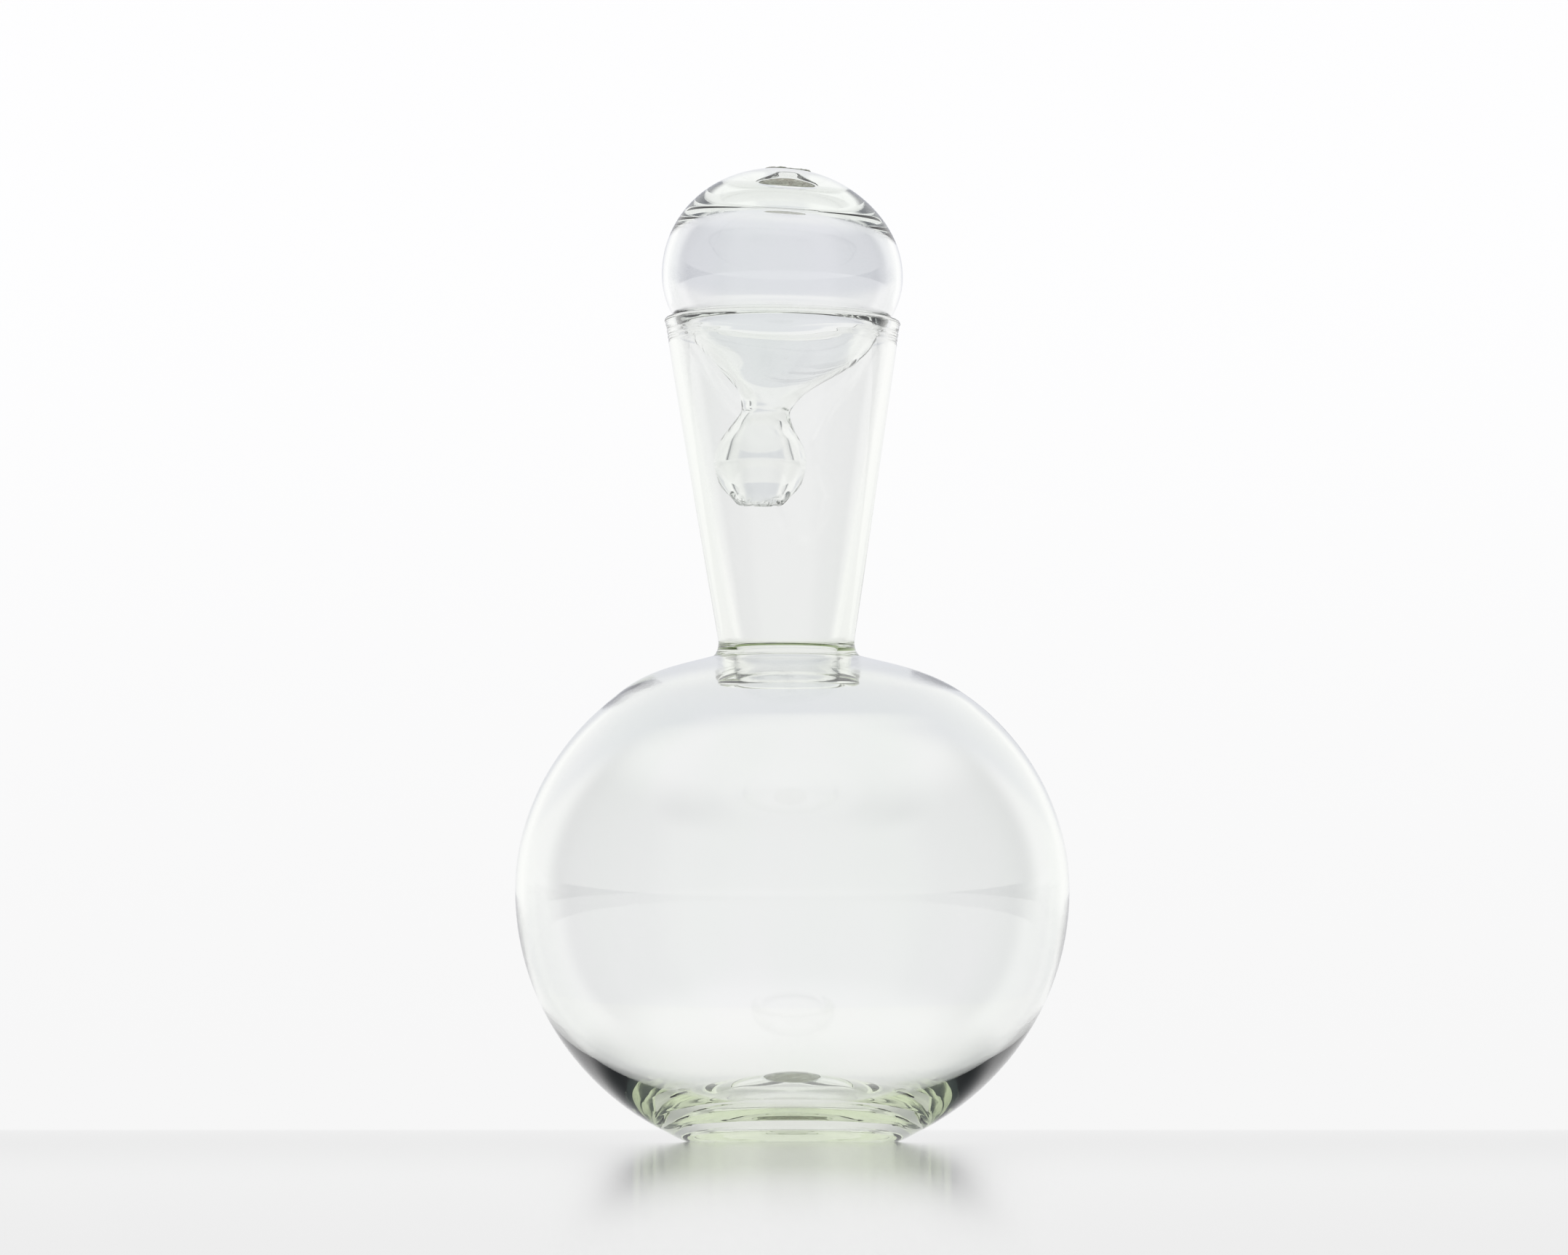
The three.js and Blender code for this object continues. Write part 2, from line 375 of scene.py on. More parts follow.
@dataclass(frozen=True)
class Value:
    """A socket that adds its own Math nodes when it is used in an expression."""

    graph: Graph
    socket: bpy.types.NodeSocket

    def _math(self, operation: str, *terms: "Value | float") -> "Value":
        """Adds one Math node over the terms."""
        return self.graph.value("Math", "Value", {"operation": operation}, dict(enumerate(terms)))

    def __add__(self, other: "Value | float") -> "Value":
        """self + other."""
        return self._math("ADD", self, other)

    __radd__ = __add__

    def __mul__(self, other: "Value | float") -> "Value":
        """self * other."""
        return self._math("MULTIPLY", self, other)

    __rmul__ = __mul__

    def __sub__(self, other: "Value | float") -> "Value":
        """self - other."""
        return self._math("SUBTRACT", self, other)

    def __rsub__(self, other: float) -> "Value":
        """other - self."""
        return self._math("SUBTRACT", other, self)

    def __truediv__(self, other: "Value | float") -> "Value":
        """self / other."""
        return self._math("DIVIDE", self, other)

    def size(self) -> "Value":
        """Its distance from zero."""
        return self._math("ABSOLUTE", self)

    def root(self) -> "Value":
        """Its square root."""
        return self._math("SQRT", self)

    def angle_sine(self) -> "Value":
        """The angle, in radians, whose sine it is."""
        return self._math("ARCSINE", self)

    def angle_from(self, across: "Value") -> "Value":
        """The angle, in radians, whose tangent is self over across."""
        return self._math("ARCTAN2", self, across)

    def step(self, low: float, high: float) -> "Value":
        """Smooth step from 0 at low to 1 at high."""
        settings = {"interpolation_type": "SMOOTHSTEP"}
        places = {"Value": self, "From Min": low, "From Max": high}
        return self.graph.value("MapRange", "Result", settings, places)


# ---- finishes ----------------------------------------------------------------------------------------------------


@dataclass(frozen=True)
class Glass:
    """Fire-polished glass: clear, green only along a long way through it, with faint cords drawn out lengthwise."""

    name: str
    ior: float = 1.5
    green: Colour = (0.75, 0.85, 0.725)
    density: float = 4.0  # per metre
    cord_size: float = 38.0  # of the cords' noise, per metre
    cord_stretch: float = 0.22
    cord_depth: float = 0.0015 * MM
    skin_size: float = 260.0
    skin_depth: float = 0.0001 * MM
    clear: Colour = (1.0, 1.0, 1.0)
    cloud: Colour = (0.985, 0.995, 0.985)
    cloud_edges: tuple[float, float] = (0.35, 0.7)  # of the cords' noise

    def material(self) -> bpy.types.Material:
        """Builds the material.

        Returns:
            Principled glass with a plain volume absorption.
        """
        made = bpy.data.materials.new(self.name)
        made.use_nodes = True
        graph = Graph(made.node_tree)
        place = graph.node("TexCoord").outputs["Object"]
        drawn = graph.node("Mapping", None, {"Vector": place, "Scale": (1.0, 1.0, self.cord_stretch)})
        where = drawn.outputs["Vector"]
        cords = graph.value("TexNoise", "Fac", None, {"Vector": where, "Scale": self.cord_size, "Detail": 2.0})
        skin = graph.value("TexNoise", "Fac", None, {"Vector": place, "Scale": self.skin_size, "Detail": 1.0})
        relief = cords * (self.cord_depth / MM) + skin * (self.skin_depth / MM)
        bump = graph.node("Bump", None, {"Height": relief, "Distance": MM, "Strength": 1.0})
        colour = graph.blend(cords.step(*self.cloud_edges), self.clear, self.cloud)
        shader = graph.node(
            "BsdfPrincipled",
            None,
            {
                "Base Color": colour,
                "Roughness": 0.0,
                "IOR": self.ior,
                "Transmission Weight": 1.0,
                "Normal": bump.outputs["Normal"],
            },
        )
        body = graph.node("VolumeAbsorption", None, {"Color": (*self.green, 1.0), "Density": self.density})
        links = {"Surface": shader.outputs[0], "Volume": body.outputs[0]}
        graph.node("OutputMaterial", None, links)
        return made


@dataclass(frozen=True)
class TornGlass:
    """Glass where the pontil iron broke off: splintered, dull and grey-green, with brown iron scale in its pits."""

    name: str
    ior: float = 1.5
    pale: Colour = (0.62, 0.66, 0.58)
    scale_brown: Colour = (0.26, 0.23, 0.18)
    splinter_size: float = 900.0
    splinter_depth: float = 0.25 * MM
    relief_shares: tuple[float, float] = (0.6, 0.4)  # of the splinters and of the pits
    scale_edges: tuple[float, float] = (0.45, 0.58)  # of the pits' noise
    dullness: tuple[float, float] = (0.06, 0.4)
    green: Colour = (0.34, 0.56, 0.20)
    density: float = 60.0

    def material(self) -> bpy.types.Material:
        """Builds the material.

        Returns:
            Rough principled glass.
        """
        made = bpy.data.materials.new(self.name)
        made.use_nodes = True
        graph = Graph(made.node_tree)
        place = graph.node("TexCoord").outputs["Object"]
        splinters = graph.value("TexVoronoi", "Distance", None, {"Vector": place, "Scale": self.splinter_size})
        pits = graph.value("TexNoise", "Fac", None, {"Vector": place, "Scale": self.splinter_size, "Detail": 4.0})
        splinter_share, pit_share = self.relief_shares
        relief = splinters * splinter_share + pits * pit_share
        bump = graph.node("Bump", None, {"Height": relief, "Distance": self.splinter_depth, "Strength": 1.0})
        low, high = self.dullness
        colour = graph.blend(pits.step(*self.scale_edges), self.scale_brown, self.pale)
        shader = graph.node(
            "BsdfPrincipled",
            None,
            {
                "Base Color": colour,
                "Roughness": pits * (high - low) + low,
                "IOR": self.ior,
                "Transmission Weight": 1.0,
                "Normal": bump.outputs["Normal"],
            },
        )
        body = graph.node("VolumeAbsorption", None, {"Color": (*self.green, 1.0), "Density": self.density})
        graph.node("OutputMaterial", None, {"Surface": shader.outputs[0], "Volume": body.outputs[0]})
        return made


class Slot(Enum):
    """The record's material slots."""

    CLEAR = "clear_glass"
    THICK = "thick_glass"
    TORN = "torn_glass"


@dataclass(frozen=True)
class Finishes:
    """The finished materials, one for each slot."""

    clear: Glass = Glass("clear_glass")
    thick: Glass = Glass("thick_glass", green=(0.53, 0.65, 0.28), density=8.0, cord_size=30.0)
    torn: TornGlass = TornGlass("torn_glass")

    def materials(self) -> dict[Slot, bpy.types.Material]:
        """Builds every material once.

        Returns:
            Slot to material.
        """
        return {Slot.CLEAR: self.clear.material(), Slot.THICK: self.thick.material(), Slot.TORN: self.torn.material()}


@dataclass(frozen=True)
class Piece:
    """A visible piece's name, the frame's nodes that it stands for, its body and its slot."""

    name: str
    nodes: tuple[str, ...]
    body: str
    slot: Slot


def add_piece(
    piece: Piece,
    profile: Array,
    move: Move,
    materials: dict[Slot, bpy.types.Material],
    around: int = AROUND,
    ripple: Ripple | None = None,
    work: Move | None = None,
) -> bpy.types.Object:
    """Args:
        piece: its name, nodes, body and slot.
        profile: rows of (radius, height).
        move: how far off true each point is.
        materials: slot to material.
        around: number of columns.
        ripple: what to add to the radius.
        work: a change of the surface made before it is set off true.

    Returns:
        The new piece.
    """
    points, faces = turn(profile, around, ripple)
    faces = outward(points, faces)
    if work is not None:
        points = work(points)
    made = make_mesh(piece.name, move(points), faces, materials[piece.slot])
    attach(made, piece.body)
    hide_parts(*piece.nodes)
    LOG.info("%s: %d points", piece.name, len(points))
    return made


# ---- the flask ---------------------------------------------------------------------------------------------------


@dataclass
class Flask:
    """The blown flask: bowl, thick base with its scar, collar and neck. It stands still."""

    body: str = "flask"
    equator: float = 76.8
    radius: float = 85.1
    rise: float = 77.7
    fall: float = 82.9
    wall: float = 2.5
    inner_rise: float = 75.2
    inner_fall: float = 73.3
    inner_fullness: float = 2.25
    base_cut: tuple[float, float] = (38.5, 37.6)  # outside and inside radius where the thick base begins
    punt: Run = ((8.6, 9.4), (16.0, 6.8), (22.0, 3.0), (25.4, 0.5), (27.0, 0.0))
    foot: Run = ((27.0, 0.0), (32.0, 0.0), (33.2, 0.25), (35.3, 1.15))
    mound: Run = ((31.0, 8.3), (25.0, 9.7), (17.0, 12.1), (8.5, 14.2), (4.5, 15.2), (0.0, 15.6))
    scar_radius: float = 8.0
    scar_thickness: float = 1.2
    scar_roughness: float = 0.55
    scar_seed: int = 7
    neck_foot: float = 152.1
    rim: float = 253.3
    neck_radii: tuple[float, float] = (20.7, 36.4)
    bore: tuple[float, float] = (16.4, 33.7)
    lip_round: float = 1.1
    crease_drop: float = 0.35
    flare: Run = ((22.6, 0.0), (21.8, 0.9), (21.2, 2.3), (20.98, 4.0))  # radius, and height above the crease
    cone_begins: float = 3.0  # above the neck's foot
    fine_rows: tuple[float, float] = (244.0, 244.3)  # heights between which the cone's rows become close
    tooling: tuple[float, ...] = (249.6, 247.9, 246.4)
    tooling_depth: float = 0.14
    tooling_width: float = 0.42
    tooling_ends: tuple[float, float] = (1.6, 1.1)  # below the rim
    tooling_power: int = 4
    shoulder: tuple[float, float] = (24.0, 52.0)  # radii between which the bowl's top flattens
    sink: tuple[float, float] = (2.6, 2.6)  # outside and inside
    collar_bottom: float = 141.2
    collar_radius: float = 22.0
    collar_bore: float = 16.2
    collar_round: float = 2.6
    collar_mouth: float = 4.0  # above the collar's round edge, where the bore begins to open
    fillet: Run = ((0.0, 1.4), (0.6, 0.25))  # out from the collar's side, and down from the bowl's inner crown
    lean: float = 0.7
    offset: float = -1.75
    offset_begins: float = 132.0
    rim_slope: float = 0.9
    rim_slope_begins: float = 215.0
    jacks: tuple[tuple[int, float, float], ...] = ((2, 0.10, 0.4), (3, 0.07, 1.9), (5, 0.05, 0.7), (7, 0.03, 2.6))
    jacks_fade: tuple[float, float, float] = (25.0, 235.0, 252.0)  # over the neck's foot; then two heights
    swell: tuple[tuple[int, float, float], ...] = ((2, 0.12, 1.1), (3, 0.05, 0.2))
    swell_fades: tuple[float, float, float, float] = (15.0, 50.0, 110.0, 145.0)
    pieces: dict[str, bpy.types.Object] = field(default_factory=dict)

    def move(self, points: Array) -> Array:
        """Leans the neck and slopes the rim: x moves with height by the neck's offset and lean, and z by the slope.

        Args:
            points: rows of (x, y, z) of a true piece.

        Returns:
            The same points set off true.
        """
        x, y, z = points.T
        lean = math.tan(math.radians(self.lean)) * np.maximum(z - self.neck_foot, 0.0)
        slope = math.tan(math.radians(self.rim_slope)) * ease(z, self.rim_slope_begins, self.rim)
        sideways = self.offset * ease(z, self.offset_begins, self.neck_foot) - lean
        return np.stack([x + sideways, y, z - slope * x], axis=1)

    def inside(self, radius: float) -> float:
        """Height of the bowl's inner floor at one radius."""
        half_width = self.radius - self.wall
        share = 1.0 - (radius / half_width) ** self.inner_fullness
        return self.equator - self.inner_fall * share ** (1.0 / self.inner_fullness)

    def outside(self, radius: float) -> float:
        """Height of the bowl's lower outside at one radius."""
        return self.equator - self.fall * math.sqrt(1.0 - (radius / self.radius) ** 2)

    def sunk(self, run: Array, depth: float) -> Array:
        """Lowers the shoulder next to the neck: height - depth*(1 - ease(radius)) above the equator.

        Args:
            run: rows of (radius, height).
            depth: how far it sinks at the neck.

        Returns:
            The lowered rows.
        """
        above = (run[:, 1] > self.equator) * (1.0 - ease(run[:, 0], *self.shoulder))
        return run - np.stack([above * 0.0, above * depth], axis=1)

    def underneath(self) -> Array:
        """From the axis out along the punt, round the foot ring, to where the bowl's outside begins."""
        top = self.punt[0]
        start = self.base_cut[0]
        return joined(
            straight((0.0, top[1]), top, steps=8),
            smooth(self.punt, steps=30),
            smooth([*self.foot, (start, self.outside(start))], steps=20),
        )

    def bowl_outside(self) -> Array:
        """From the base up round the equator to the crease under the neck."""
        lower = dome(self.equator, self.radius, -self.fall, self.base_cut[0], self.radius, steps=50)
        upper = dome(self.equator, self.radius, self.rise, self.radius, self.flare[0][0], steps=56)
        return joined(lower, self.sunk(upper, self.sink[0]))

    def bowl_inside(self) -> Array:
        """From the collar down the inner wall and over the mound to the axis."""
        half_width = self.radius - self.wall
        begins = self.collar_radius + self.fillet[1][0]
        foot = self.base_cut[1]
        upper = dome(self.equator, half_width, self.inner_rise, begins, half_width, steps=56)
        lower = dome(self.equator, half_width, -self.inner_fall, half_width, foot, 50, self.inner_fullness)
        return joined(
            self.sunk(upper, self.sink[1]), lower, smooth([(foot, self.inside(foot)), *self.mound], steps=50)
        )

    def collar(self) -> Array:
        """From the neck's bore down the collar, round its lower edge, and up its side to the bowl."""
        low, size = self.collar_bottom + self.collar_round, self.collar_round
        side, bore = self.collar_radius, self.collar_bore
        crown = self.equator + self.inner_rise * math.sqrt(1.0 - (side / (self.radius - self.wall)) ** 2)
        crown -= self.sink[1]
        fillet = [(side + out, crown - down) for out, down in self.fillet]
        return joined(
            smooth([(self.bore[0], self.neck_foot), (bore, low + self.collar_mouth), (bore, low)], steps=8),
            round_corner(bore + size, low, size, 180.0, 270.0),
            round_corner(side - size, low, size, 270.0, 360.0),
            smooth([(side, low), *fillet], steps=8),
        )

    def neck_outside(self, height: Array | float) -> Array | float:
        """Radius of the neck's cone."""
        low, high = self.neck_radii
        return low + (high - low) * (height - self.neck_foot) / (self.rim - self.neck_foot)

    def neck(self) -> Array:
        """From the crease up the cone, over the lip, and down the bore.

        Returns:
            Rows of (radius, height).
        """
        size = self.lip_round
        high = self.rim - size
        coarse = np.linspace(self.neck_foot + self.cone_begins, self.fine_rows[0], 30)
        heights = np.concatenate([coarse, np.linspace(self.fine_rows[1], high, 36)])
        cone = np.stack([self.neck_outside(heights), heights], axis=1)
        crease = self.neck_foot - self.sink[0] - self.crease_drop
        flare = [(radius, crease + above) for radius, above in self.flare]
        low_bore, high_bore = self.bore
        return joined(
            smooth([*flare, tuple(cone[0])], steps=16),
            cone,
            round_corner(self.neck_radii[1] - size, high, size, 0.0, 90.0),
            round_corner(high_bore + size, high, size, 90.0, 180.0),
            straight((high_bore, high), (low_bore, self.neck_foot), steps=26),
        )

    def profile(self) -> Array:
        """The whole flask's wall, from the axis underneath to the axis on the mound."""
        return joined(self.underneath(), self.bowl_outside(), self.neck(), self.collar(), self.bowl_inside())

    def waves(self, angle: Array, height: Array) -> Array:
        """What the tools left on the wall: the jacks' flutes, which fade out at the collar and the lip, the bowl's
        faint swell, and three short dents under the lip, exp(-(distance/width)^2) deep, most on its two sides.

        Args:
            angle: where, in radians.
            height: where, in millimetres.

        Returns:
            What to add to the radius.
        """
        reach, lip_low, lip_high = self.jacks_fade
        on_neck = ease(height, self.neck_foot, self.neck_foot + reach) * (1.0 - ease(height, lip_low, lip_high))
        low, full, fading, gone = self.swell_fades
        on_bowl = ease(height, low, full) * (1.0 - ease(height, fading, gone))
        rings = sum(np.exp(-(((height - ring) / self.tooling_width) ** 2)) for ring in self.tooling)
        under_lip = 1.0 - ease(height, *(self.rim - end for end in self.tooling_ends))
        dents = -self.tooling_depth * rings * under_lip * np.cos(angle) ** self.tooling_power
        return flutes(angle, self.jacks) * on_neck + flutes(angle, self.swell) * on_bowl + dents

    def build(self, materials: dict[Slot, bpy.types.Material]) -> None:
        """Builds and dresses every piece.

        Args:
            materials: slot to material.
        """
        wall = Piece("flask_glass", ("bowl", "base_punt", "neck_collar", "neck"), self.body, Slot.THICK)
        scar = Piece("base_scar", ("base_pontil_scar",), self.body, Slot.TORN)
        top = self.punt[0][1]
        button = scar_profile(self.scar_radius, top + WELD, top + WELD - self.scar_thickness)
        rough = splintered(self.scar_radius, top, self.scar_roughness, self.scar_seed)
        self.pieces = {
            wall.name: add_piece(wall, self.profile(), self.move, materials, AROUND, self.waves),
            scar.name: add_piece(scar, button, self.move, materials, SMALL_AROUND, None, rough),
        }


# ---- the scars ---------------------------------------------------------------------------------------------------

# Shares of the radius and of the thickness, from the edge of the stuck side to the middle of the torn one.
SCAR_EDGE = ((1.0, 0.0), (1.0, 0.35), (0.93, 0.8), (0.7, 1.0), (0.4, 0.85), (0.0, 0.75))
SPLINTERS = ((0.6, 3.0), (0.4, 9.0))  # share of the depth, and how many fit in a radius
SPLINTER_REACH = 0.9  # from the stuck side to where the splinters have their full depth


def scar_profile(radius: float, stuck: float, torn: float) -> Array:
    """A button with a rounded edge and a hollow torn face.

    Args:
        radius: of the button.
        stuck: height of the flat side.
        torn: height of the torn side.

    Returns:
        Rows of (radius, height).
    """
    edge = [(radius * out, stuck + (torn - stuck) * deep) for out, deep in SCAR_EDGE]
    return joined(straight((0.0, stuck), (radius, stuck), steps=24), smooth(edge, steps=60))


def splintered(radius: float, stuck: float, depth: float, seed: int) -> Move:
    """Work that leaves a torn face uneven: the height changes by lattice noise, more the further from the stuck side.

    Args:
        radius: of the button.
        stuck: height of its flat side, which stays flat.
        depth: most change.
        seed: which noise.

    Returns:
        The work on rows of (x, y, z).
    """

    def work(points: Array) -> Array:
        """Moves the torn side's points."""
        away = np.clip(np.abs(points[:, 2] - stuck) / SPLINTER_REACH, 0.0, 1.0)
        noises = enumerate(SPLINTERS)
        rough = sum(share * grain(points, radius / fit, seed + i) for i, (share, fit) in noises)
        return points + np.stack([rough * 0.0, rough * 0.0, rough * away * depth], axis=1)

    return work


# ---- the stopper -------------------------------------------------------------------------------------------------


@dataclass
class Stopper:
    """The loose stopper: ball, funnel, hanging drop, and the scar on its crown. It lifts off."""

    body: str = "stopper"
    seat: float = 253.0
    top: float = 299.7
    equator: float = 266.8
    radius: float = 37.2
    rise: float = 33.2
    fall: float = 30.0
    inner_radius: float = 35.4
    floor_ring: Run = ((28.7, 253.15), (30.0, 253.6), (31.2, 254.2), (32.2, 255.2))
    crown_thickness: float = 9.0
    wall_from: float = -20.0  # degrees above the equator where the even wall begins
    thickening: tuple[float, float] = (20.0, 82.0)  # degrees above the equator between which the wall thickens
    seat_radius: float = 33.0
    crown_flat: float = 299.13
    crown_edge: Run = ((6.7, 0.0), (7.5, 0.03), (8.0, 0.09))  # radius, and height above the flat
    scar_radius: float = 7.2
    scar_thickness: float = 1.0
    scar_narrowness: tuple[float, float, float] = (1.0, 0.6, 1.0)
    scar_roughness: float = 0.35
    scar_seed: int = 19
    tip: float = 195.6
    funnel_outside: Run = ((33.0, 253.0), (31.6, 250.6), (23.4, 240.8), (11.4, 231.3), (8.1, 226.2))
    funnel_inside: Run = ((5.2, 226.2), (8.3, 231.1), (20.2, 241.4), (27.1, 250.5), (28.4, 253.0))
    drop_outside: Run = (
        (8.1, 226.2), (7.8, 223.5), (10.2, 219.0), (13.3, 213.5), (14.1, 208.0), (12.6, 202.0), (9.3, 198.2),
        (7.6, 196.3), (6.6, 195.6),
    )
    drop_inside: Run = (
        (4.1, 195.6), (5.6, 197.8), (7.8, 201.9), (9.6, 207.2), (10.0, 210.0), (8.6, 214.5), (6.0, 219.5),
        (4.8, 224.0), (5.2, 226.2),
    )
    break_reach: float = 2.5
    shards: tuple[tuple[float, float, int], ...] = ((0.65, 2.3, 31), (0.35, 0.7, 32))  # share, size and seed
    shard_moves: tuple[float, float, float] = (0.25, 0.2, 1.1)
    axis_x: float = -3.2
    crown_shift: float = 1.9
    slopes: tuple[float, float] = (0.9, 4.5)  # degrees, at the seat and at the crown
    drop_shift: float = -6.6
    drop_depths: tuple[float, float] = (11.0, 37.0)
    bulge: tuple[float, float, float] = (1.2, 11.5, 5.5)  # sideways, at this depth, over this spread
    pieces: dict[str, bpy.types.Object] = field(default_factory=dict)

    def move(self, points: Array) -> Array:
        """Leans the crown one way and hangs the drop the other: x and z change smoothly with the height.

        Args:
            points: rows of (x, y, z) of a true piece.

        Returns:
            The same points set off true.
        """
        x, y, z = points.T
        height = z - self.seat
        depth = np.maximum(-height, 0.0)
        up = np.maximum(height, 0.0) / (self.top - self.seat)
        sideways, at_depth, spread = self.bulge
        bulge = np.where(height < 0.0, sideways * np.exp(-(((depth - at_depth) / spread) ** 2)), 0.0)
        hang = self.drop_shift * ease(depth, *self.drop_depths)
        at_seat, at_crown = self.slopes
        degrees = at_seat + (at_crown - at_seat) * ease(up, 0.0, 1.0)
        slope = np.tan(np.radians(degrees)) * (1.0 - ease(depth, 0.0, self.drop_depths[1]))
        shift = self.axis_x + self.crown_shift * up**2 + hang + bulge
        return np.stack([x + shift, y, z - slope * x], axis=1)

    def ball_outside(self) -> Array:
        """From the axis on the crown over its flat and down to the seat."""
        edge = [(radius, self.crown_flat + above) for radius, above in self.crown_edge]
        return joined(
            straight((0.0, self.crown_flat), edge[0], steps=6),
            smooth(edge, steps=10),
            dome(self.equator, self.radius, self.rise, edge[-1][0], self.radius, steps=60),
            dome(self.equator, self.radius, -self.fall, self.radius, self.seat_radius, steps=24),
        )

    def ball_inside(self) -> Array:
        """From the crease up the inner wall to the axis under the crown, which is the outside ellipse moved in along
        its normal by the wall's thickness: even low down, and easing to the crown's thickness."""
        degrees = np.linspace(self.wall_from, 90.0, 91)
        angle = np.radians(degrees)
        height = np.where(angle > 0.0, self.rise, self.fall)
        wall = self.radius - self.inner_radius
        wall = wall + (self.crown_thickness - wall) * ease(degrees, *self.thickening)
        normal = np.stack([np.cos(angle) / self.radius, np.sin(angle) / height], axis=1)
        normal /= np.linalg.norm(normal, axis=1)[:, None]
        outside = np.stack([self.radius * np.cos(angle), self.equator + height * np.sin(angle)], axis=1)
        upper = outside - wall[:, None] * normal
        upper[-1, 0] = 0.0
        return joined(smooth([*self.floor_ring, tuple(upper[0])], steps=24), upper)

    def profile(self) -> Array:
        """The whole stopper's wall, from the axis on the crown to the axis inside under it.

        Returns:
            Rows of (radius, height).
        """
        outside = smooth([*self.funnel_outside, *self.drop_outside[1:]], steps=130)
        inside = smooth([*self.drop_inside, *self.funnel_inside[1:]], steps=110)
        broken_end = straight(outside[-1], inside[0], steps=12)
        return joined(self.ball_outside(), outside, broken_end, inside, self.ball_inside())

    def broken(self, points: Array) -> Array:
        """Breaks the drop's end off unevenly: its lowest points move by lattice noise, which fades out higher up.

        Args:
            points: rows of (x, y, z).

        Returns:
            The changed points.
        """
        near = 1.0 - ease(points[:, 2], self.tip, self.tip + self.break_reach)
        shards = sum(share * grain(points, size, seed) for share, size, seed in self.shards)
        across, along, up = self.shard_moves
        moved = [shards * across * near, shards * along * near, np.abs(shards) * up * near]
        return points + np.stack(moved, axis=1)

    def build(self, materials: dict[Slot, bpy.types.Material]) -> None:
        """Builds and dresses every piece.

        Args:
            materials: slot to material.
        """
        stuck = self.crown_flat - WELD
        wall = Piece("stopper_glass", ("stopper_ball", "stopper_funnel", "stopper_drop"), self.body, Slot.CLEAR)
        scar = Piece("crown_scar", ("stopper_pontil_scar",), self.body, Slot.TORN)
        button = scar_profile(self.scar_radius, stuck, stuck + self.scar_thickness)
        rough = splintered(self.scar_radius, stuck, self.scar_roughness, self.scar_seed)

        def narrow(points: Array) -> Array:
            """The scar is wider than it is deep."""
            return rough(points) * np.array(self.scar_narrowness)

        self.pieces = {
            wall.name: add_piece(wall, self.profile(), self.move, materials, AROUND, None, self.broken),
            scar.name: add_piece(scar, button, self.move, materials, SMALL_AROUND, None, narrow),
        }


# ---- the studio --------------------------------------------------------------------------------------------------


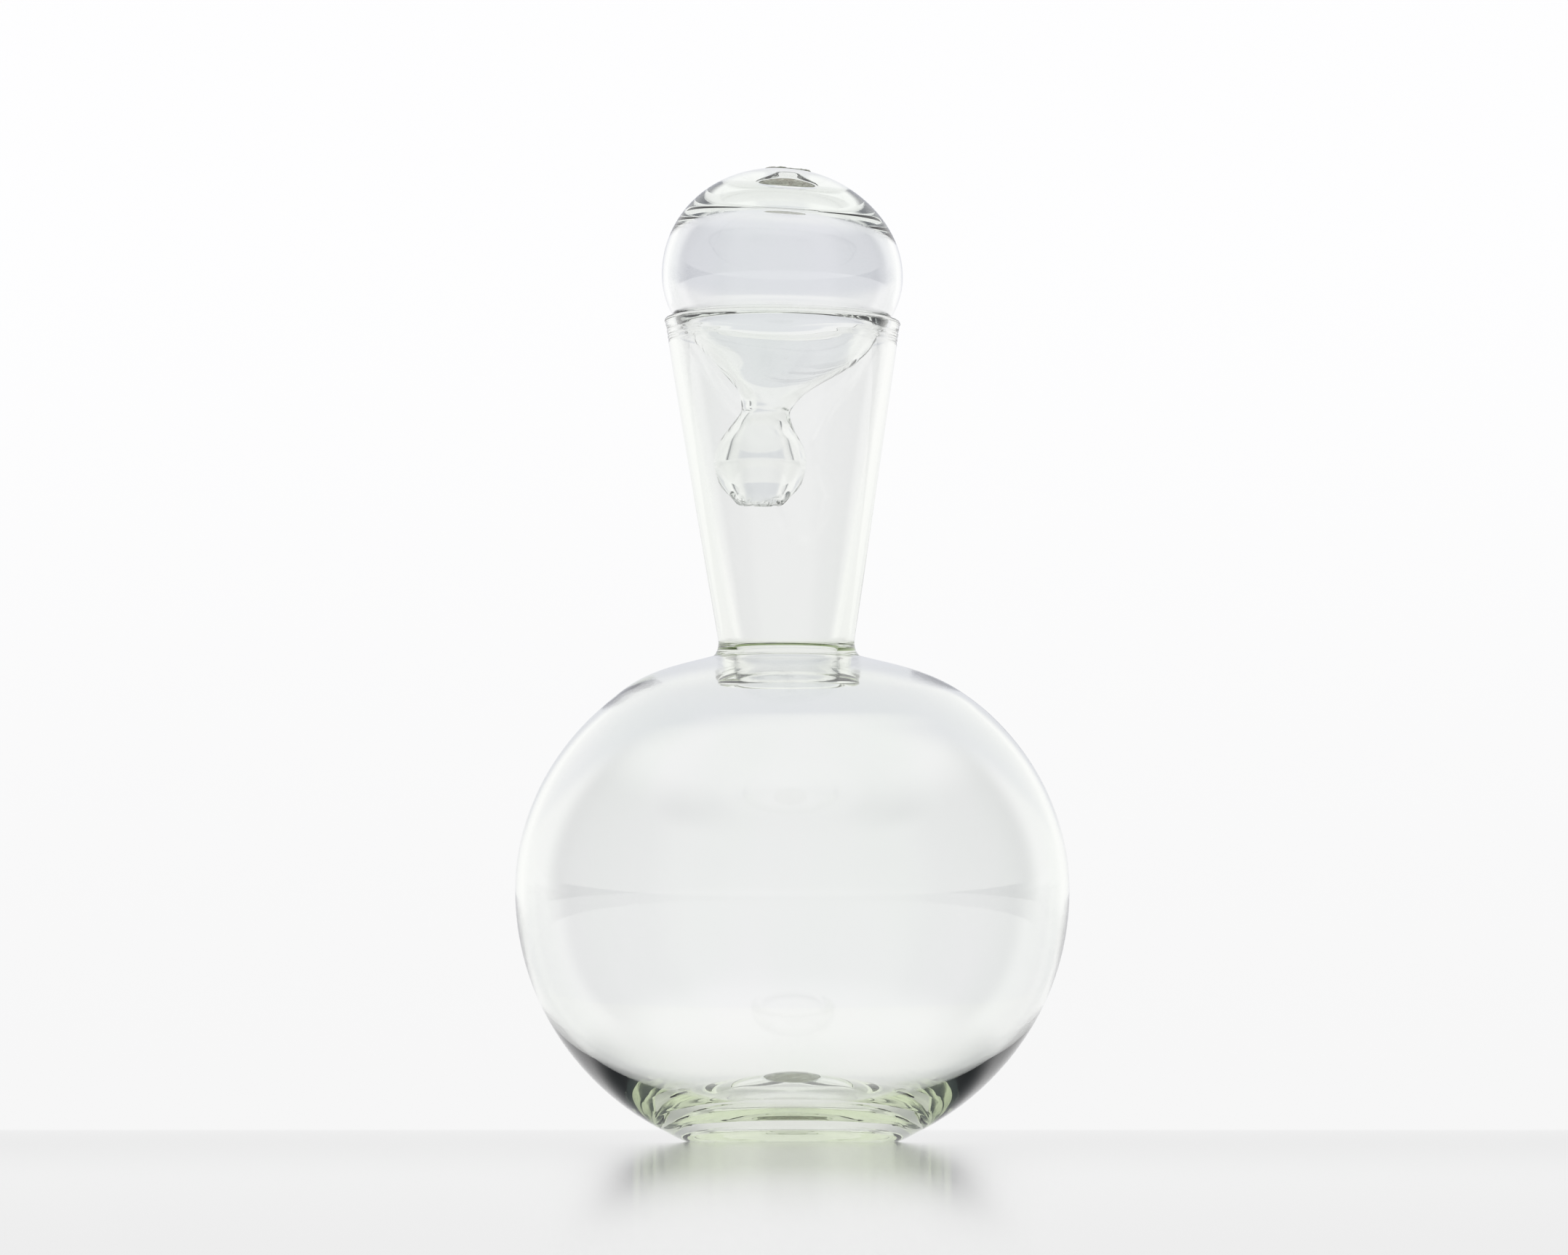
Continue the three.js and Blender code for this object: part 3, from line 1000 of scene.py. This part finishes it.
@dataclass
class Studio:
    """A pale glossy light table in front of a wide bright backdrop, and the camera at eye level with the table."""

    table_radius: float = 3.2
    table_sides: int = 96
    table_tone: Colour = (0.85, 0.85, 0.85)
    table_gloss: float = 0.05
    table_ior: float = 1.45
    polish_edges: tuple[float, float] = (1.2, 2.1)  # metres in front of the axis: where the gloss fades
    # painted shade: the colour of the dark ring painted into the table's glow around the flask's foot
    shade_tone: Colour = (0.07, 0.085, 0.09)
    shade: tuple[float, float, float, float] = (0.036, 0.052, 0.072, 0.112)  # metres from the axis: the ring's edges
    shade_squash: float = 2.0
    shade_under_foot: float = 0.5
    shade_in_front: float = 0.08
    not_zero: float = 1e-6
    backdrop: float = 1.0
    backdrop_edges: tuple[float, float] = (52.0, 68.0)  # degrees to either side
    roof: float = 0.95
    roof_edges: tuple[float, float] = (32.0, 50.0)  # degrees up
    room: Colour = (0.045, 0.055, 0.075)
    behind: Colour = (0.45, 0.455, 0.46)
    behind_edges: tuple[float, float] = (112.0, 135.0)
    panel_half_width: float = 14.0
    panel_middle: float = 3.0
    panel_half_height: float = 30.0
    panel_fade: tuple[float, float] = (0.05, 2.6)  # of the fourth powers' sum
    panel_edges: tuple[float, float] = (4.4, 5.8)  # degrees up
    panel_tones: tuple[Colour, Colour] = ((0.90, 0.90, 0.915), (0.755, 0.765, 0.81))  # low and high
    plain_edges: tuple[float, float] = (-1.0, 7.0)
    plain_tones: tuple[Colour, Colour] = ((0.925, 0.925, 0.925), (0.99, 0.99, 0.995))
    distance: float = 2.35
    eye_height: float = 0.0063
    aim: tuple[float, float, float] = (-0.0025, 0.0, 0.158)
    lens: float = 175.5
    sensor: float = 36.0
    clip: tuple[float, float] = (0.05, 50.0)
    bounces: int = 32
    diffuse_bounces: int = 4

    def table(self) -> None:
        """A round table top that glows evenly, but for a painted shade close to the flask's foot: a dark ring painted
        into the glow's colour, darkest at its two sides, where distance is the square root of across^2 + 2*along^2. Its
        gloss fades in front."""
        angle = np.linspace(0.0, 2.0 * math.pi, self.table_sides, endpoint=False)
        rim = np.stack([np.cos(angle), np.sin(angle), np.zeros(self.table_sides)], axis=1) * self.table_radius
        mesh = bpy.data.meshes.new("table_top")
        mesh.from_pydata(rim.tolist(), [], [list(range(self.table_sides))])
        top = bpy.data.objects.new("table_top", mesh)
        bpy.context.scene.collection.objects.link(top)
        made = bpy.data.materials.new("table_top")
        made.use_nodes = True
        graph = Graph(made.node_tree)
        place = graph.node("TexCoord").outputs["Object"]
        split = graph.node("SeparateXYZ", None, {"Vector": place})
        across, along = (Value(graph, split.outputs[name]) for name in "XY")
        squared = across * across + along * along * self.shade_squash
        away = squared.root()
        under, front = self.shade_under_foot, self.shade_in_front
        sideways = across * across / (squared + self.not_zero)
        # painted shade: a ring mask around the foot that darkens the glow's colour, standing in for the flask's shadow
        ring = (away.step(*self.shade[:2]) * (1.0 - under) + under) * (1.0 - away.step(*self.shade[2:]))
        ring = ring * (sideways * sideways * (1.0 - front) + front)
        tone = graph.blend(ring, self.table_tone, self.shade_tone)
        glow = graph.node("Emission", None, {"Color": tone, "Strength": 1.0})
        gloss = graph.node("BsdfGlossy", None, {"Color": (1.0, 1.0, 1.0, 1.0), "Roughness": self.table_gloss})
        mirror = graph.value("Fresnel", "Fac", None, {"IOR": self.table_ior})
        polish = mirror * (1.0 - (along * -1.0).step(*self.polish_edges))
        links = {0: polish, 1: glow.outputs[0], 2: gloss.outputs[0]}
        graph.node("OutputMaterial", None, {"Surface": graph.node("MixShader", None, links).outputs[0]})
        mesh.materials.append(made)

    def light(self) -> None:
        """The light: a bright backdrop a third of the way round, greyer high up behind the flask, a bright roof, dark
        sides, and a grey room behind the camera. What isn't seen through the glass is a plain near-white."""
        world = bpy.data.worlds.new("studio")
        bpy.context.scene.world = world
        world.use_nodes = True
        graph = Graph(world.node_tree)
        split = graph.node("SeparateXYZ", None, {"Vector": graph.node("TexCoord").outputs["Generated"]})
        x, y, z = (Value(graph, split.outputs[name]) for name in "XYZ")
        degrees = 180.0 / math.pi
        across = x.angle_from(y) * degrees
        up = z.angle_sine() * degrees
        beside = across / self.panel_half_width
        above = (up - self.panel_middle) / self.panel_half_height
        spread = beside * beside * beside * beside + above * above * above * above
        panel = 1.0 - spread.step(*self.panel_fade)
        grey = graph.blend(up.step(*self.panel_edges), *self.panel_tones)
        dark = graph.blend(across.size().step(*self.behind_edges), self.room, self.behind)
        room = across.size().step(*self.backdrop_edges) * (1.0 - up.step(*self.roof_edges))
        bright = graph.blend(up.step(*self.roof_edges), (self.backdrop,) * 3, (self.roof,) * 3)
        seen = graph.blend(panel, graph.blend(room, bright, dark), grey)
        plain = graph.blend(up.step(*self.plain_edges), *self.plain_tones)
        path = graph.node("LightPath")
        camera, glossy, sharp = (
            Value(graph, path.outputs[f"Is {kind} Ray"]) for kind in ("Camera", "Glossy", "Singular")
        )
        colour = graph.blend(camera + glossy * (1.0 - sharp) * (1.0 - camera), seen, plain)
        back = graph.node("Background", None, {"Color": colour, "Strength": 1.0})
        graph.node("OutputWorld", None, {"Surface": back.outputs[0]})

    def camera(self) -> None:
        """A long lens at table height, aimed at the middle of the decanter."""
        data = bpy.data.cameras.new("camera")
        data.lens, data.sensor_width = self.lens, self.sensor
        data.clip_start, data.clip_end = self.clip
        made = bpy.data.objects.new("camera", data)
        bpy.context.scene.collection.objects.link(made)
        start = np.array([self.aim[0], -self.distance, self.eye_height])
        tilt = math.atan2(self.aim[2] - start[2], self.distance)
        made.location = start
        made.rotation_euler = (math.pi / 2.0 + tilt, 0.0, 0.0)
        bpy.context.scene.camera = made

    def settings(self) -> None:
        """Enough bounces for light to find its way through the thick glass, and an unbent tone curve."""
        cycles = bpy.context.scene.cycles
        cycles.max_bounces = self.bounces
        cycles.transmission_bounces = self.bounces
        cycles.glossy_bounces = self.bounces // 2
        cycles.diffuse_bounces = self.diffuse_bounces
        cycles.denoising_input_passes = "RGB"
        cycles.blur_glossy = 0.0
        bpy.context.scene.view_settings.view_transform = "Standard"

    def build(self) -> None:
        """Builds the whole studio."""
        self.table()
        self.light()
        self.camera()
        self.settings()


def main() -> None:
    """Builds the decanter and the studio."""
    logging.basicConfig(level=logging.INFO, format="%(name)s %(message)s")
    materials = Finishes().materials()
    for part in (Flask(), Stopper()):
        part.build(materials)
        LOG.info("%s: %s", part.body, ", ".join(part.pieces))
    Studio().build()


if __name__ == "__main__":
    main()
